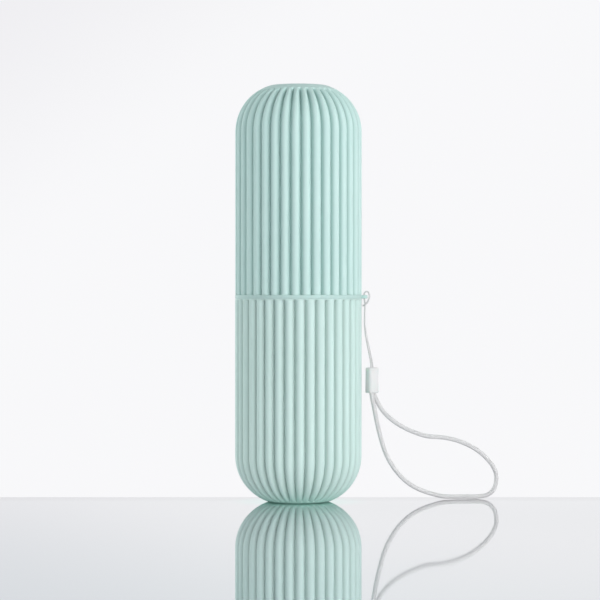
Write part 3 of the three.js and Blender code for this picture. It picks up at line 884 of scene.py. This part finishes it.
def panel_mesh(name, outline, thickness, edge):
    """A flat panel with rounded edges: its outline drawn in along its own normals at each face."""
    ahead = np.roll(outline, -1, axis=0) - np.roll(outline, 1, axis=0)
    normal = np.stack([ahead[:, 1], -ahead[:, 0]], axis=1)
    normal /= np.linalg.norm(normal, axis=1)[:, None]
    quarter = np.linspace(0, math.pi / 2, 4)
    foot, head = edge * (1 - np.sin(quarter)), edge * (1 - np.cos(quarter))
    inset = np.concatenate([foot, head])
    level = np.concatenate([-thickness / 2 + head, thickness / 2 - foot])
    rings = outline[None] - normal[None] * inset[:, None, None]
    points = np.stack([rings[:, :, 0], np.broadcast_to(level[:, None], rings.shape[:2]),
                       rings[:, :, 1]], axis=2)
    rows, columns = points.shape[:2]
    faces = grid_faces(rows, columns)[:, ::-1].tolist()
    faces.append(list(range(columns)))
    faces.append([(rows - 1) * columns + c for c in reversed(range(columns))])
    panel = add_piece(name, points.reshape(-1, 3), faces)
    for face in list(panel.data.polygons)[-2:]:
        face.use_smooth = False
    return panel


MINT = (0.575, 0.757, 0.728)
MINT_TINT = (0.56, 0.747, 0.718)
DIVIDER_ROUGHNESS = 0.42
DIVIDER_GRAIN = 0.00003
DIVIDER_GLOW = 0.12

divider = panel_mesh("divider_panel", divider_outline(), DIVIDER_THICKNESS, DIVIDER_EDGE)
divider.data.materials.append(moulded_material(
    "divider_plastic", MINT, MINT_TINT, DIVIDER_ROUGHNESS, DIVIDER_GRAIN, DIVIDER_GLOW))
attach(divider, "divider_body")
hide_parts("divider")


# Cap. The upper half of the capsule, moulded like the lower case from the same plastic.
# Its grooves run out at the rim, which sits on the band of the coupling ring.

CASE_HEIGHT = 0.207
TOP_CUT = 0.0009
CAP_GROOVE_START = 0.19
CAP_GROOVE_FULL = 0.34
CAP_RIB_TURN_SHARE = 0.74
# The cap's painted groove shade, a darker mint.
GROOVE_SHADE_MINT = (0.365, 0.53, 0.505)

top_centre = CASE_HEIGHT + TOP_CUT - CORNER_RADIUS

cap = cup_mesh("cap_moulding", top_centre, 1, CASE_HEIGHT, seam_high, False,
               CAP_GROOVE_START, CAP_GROOVE_FULL, CAP_RIB_TURN_SHARE)
cap_plastic = moulded_material("cap_plastic", MINT, MINT_TINT, CASE_ROUGHNESS,
                               CASE_GRAIN, CASE_GLOW)
# Painted shade in the cap's grooves.
add_painted_groove_shade(cap_plastic, GROOVE_SHADE_MINT)
cap.data.materials.append(cap_plastic)
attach(cap, "cap_body")
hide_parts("cap")


# Floor and light. A polished pale table that mirrors the case, a white surround, and soft
# boxes in front, at both sides, behind, above and low down. The case's right is the brighter.

TABLE_REACH = 3.0
TABLE_EDGE = 0.028
TABLE_DROP = 0.0001
TABLE_FAR_TONE = (0.752, 0.76, 0.78)
# The near tone is painted shade, which the table shade limits below spread towards the front and
# the left.
TABLE_NEAR_SHADE = (0.59, 0.665, 0.695)
TABLE_BACK_TONE = (0.62, 0.62, 0.64)
BACK_START = -0.004
BACK_FULL = 0.018
BACK_SHARE = 0.8
# Painted mint light on the table round the case's foot, as if bounced and reflected from the case.
PAINTED_FOOT_BOUNCE = (0.58, 0.90, 0.82)
PAINTED_FOOT_BOUNCE_FULL = 0.014
PAINTED_FOOT_BOUNCE_END = 0.038
PAINTED_FOOT_BOUNCE_SHARE = 0.9
TABLE_METAL = 0.8
TABLE_ROUGHNESS = 0.03
TABLE_IOR = 1.5
TABLE_SHADE_AWAY = 0.06
TABLE_SHADE_FULL = 0.60
TABLE_SHADE_LEAN = 1.2


def table_mesh():
    """A wide flat top, a hair below the object's base, whose back edge is just behind the case."""
    corners = [(-TABLE_REACH, -TABLE_REACH), (TABLE_REACH, -TABLE_REACH),
               (TABLE_REACH, TABLE_EDGE), (-TABLE_REACH, TABLE_EDGE)]
    return add_piece("table", np.array([(x, y, -TABLE_DROP) for x, y in corners]), [(0, 1, 2, 3)])


def table_material():
    """Mirror-polished pale acrylic: most of the light is mirrored, and the rest is a pale grey.

    Painted shade deepens the grey towards the front and the left. The grey is plainer along
    the back edge, and painted mint light from the case lies round its foot.
    """
    material, tree, shader = new_material("table_top")
    place = add_node(tree, "ShaderNodeTexCoord").outputs["Object"]
    split = add_node(tree, "ShaderNodeSeparateXYZ", inputs={"Vector": place})
    near = add_node(tree, "ShaderNodeMath", {"operation": "MULTIPLY"},
                    {0: split.outputs["Y"], 1: -1})
    lean = add_node(tree, "ShaderNodeMath", {"operation": "MULTIPLY_ADD"},
                    {0: split.outputs["X"], 1: -TABLE_SHADE_LEAN, 2: near.outputs[0]})
    away = add_node(tree, "ShaderNodeVectorMath", {"operation": "LENGTH"}, {0: place})
    shade = eased(tree, lean.outputs[0], TABLE_SHADE_AWAY, TABLE_SHADE_FULL, 0, 1)
    back = eased(tree, split.outputs["Y"], BACK_START, BACK_FULL, 0, BACK_SHARE)
    # Painted mint light round the foot, strongest near it and gone at its end.
    foot = eased(tree, away.outputs["Value"], PAINTED_FOOT_BOUNCE_FULL, PAINTED_FOOT_BOUNCE_END, PAINTED_FOOT_BOUNCE_SHARE, 0)
    tone = blended(tree, shade, (*TABLE_FAR_TONE, 1), (*TABLE_NEAR_SHADE, 1))
    tone = blended(tree, back, tone, (*TABLE_BACK_TONE, 1))
    tone = blended(tree, foot, tone, (*PAINTED_FOOT_BOUNCE, 1))
    tree.links.new(tone, shader.inputs["Base Color"])
    shader.inputs["Metallic"].default_value = TABLE_METAL
    shader.inputs["Roughness"].default_value = TABLE_ROUGHNESS
    shader.inputs["IOR"].default_value = TABLE_IOR
    return material


table = table_mesh()
table.data.materials.append(table_material())

SURROUND = (0.94, 0.94, 0.955)
# Painted shade on the paper in its upper left corner, and where it starts and is full.
SURROUND_CORNER_SHADE = (0.865, 0.86, 0.885)
CORNER_START = 0.07
CORNER_FULL = 0.17
CORNER_RISE = 0.8
CORNER_LEAN = 0.6
FILL_COLOUR = (0.84, 1, 0.98)
FILL_STRENGTH = 0.28


def light_surround():
    """The world: white paper to the eye and in mirrors, and a cooler, weaker fill light.

    The paper has painted shade in its upper left corner, and the share of that shade grows
    with the height times the rise minus the X times the lean of the way that a ray goes.
    """
    world = bpy.data.worlds.new("studio")
    bpy.context.scene.world = world
    world.use_nodes = True
    sky = world.node_tree
    sky.nodes.clear()
    ray = add_node(sky, "ShaderNodeLightPath")
    seen = add_node(sky, "ShaderNodeMath", {"operation": "MAXIMUM"},
                    {0: ray.outputs["Is Camera Ray"], 1: ray.outputs["Is Glossy Ray"]})
    seen = add_node(sky, "ShaderNodeMath", {"operation": "MAXIMUM"},
                    {0: seen.outputs[0], 1: ray.outputs["Is Transmission Ray"]})
    fill = add_node(sky, "ShaderNodeBackground", inputs={
        "Color": (*FILL_COLOUR, 1), "Strength": FILL_STRENGTH})
    way = add_node(sky, "ShaderNodeTexCoord").outputs["Generated"]
    split = add_node(sky, "ShaderNodeSeparateXYZ", inputs={"Vector": way})
    rise = add_node(sky, "ShaderNodeMath", {"operation": "MULTIPLY"},
                    {0: split.outputs["Z"], 1: CORNER_RISE})
    lean = add_node(sky, "ShaderNodeMath", {"operation": "MULTIPLY_ADD"},
                    {0: split.outputs["X"], 1: -CORNER_LEAN, 2: rise.outputs[0]})
    corner = eased(sky, lean.outputs[0], CORNER_START, CORNER_FULL, 0, 1)
    paper = blended(sky, corner, (*SURROUND, 1), (*SURROUND_CORNER_SHADE, 1))
    white = add_node(sky, "ShaderNodeBackground", inputs={"Color": paper, "Strength": 1})
    either = add_node(sky, "ShaderNodeMixShader", inputs={
        0: seen.outputs[0], 1: fill.outputs[0], 2: white.outputs[0]})
    add_node(sky, "ShaderNodeOutputWorld", inputs={"Surface": either.outputs[0]})


light_surround()

CASE_MIDDLE = (0, 0, 0.1)
SOFT_BOXES = [
    {"name": "right_box", "place": (1.3, -0.55, 0.3), "size": (1.2, 1.6), "watts": 12},
    {"name": "front_box", "place": (0.6, -1.6, 0.3), "size": (1.4, 1.6), "watts": 13},
    {"name": "left_box", "place": (-1.1, 0.85, 0.3), "size": (0.9, 1.4), "watts": 19},
    {"name": "back_box", "place": (1.1, 0.9, 0.3), "size": (0.9, 1.4), "watts": 2.6},
    {"name": "high_box", "place": (0.3, -1.1, 1.2), "size": (0.8, 0.8), "watts": 0.5},
    {"name": "low_box", "place": (0.1, -1.2, 0.11), "size": (2.0, 0.18), "watts": 5.4},
]


def soft_lamp(name, place, size, watts):
    """A soft box that faces the case's middle, hidden from the camera and from mirrors."""
    lamp = bpy.data.lights.new(name, "AREA")
    lamp.shape = "RECTANGLE"
    lamp.size, lamp.size_y = size
    lamp.energy = watts
    box = bpy.data.objects.new(name, lamp)
    box.location = place
    way = np.array(CASE_MIDDLE) - np.array(place)
    yaw = math.atan2(way[1], way[0]) - math.pi / 2
    pitch = math.acos(-way[2] / np.linalg.norm(way))
    box.rotation_euler = (pitch, 0, yaw)
    box.visible_camera = False
    box.visible_glossy = False
    bpy.context.scene.collection.objects.link(box)


for soft_box in SOFT_BOXES:
    soft_lamp(**soft_box)
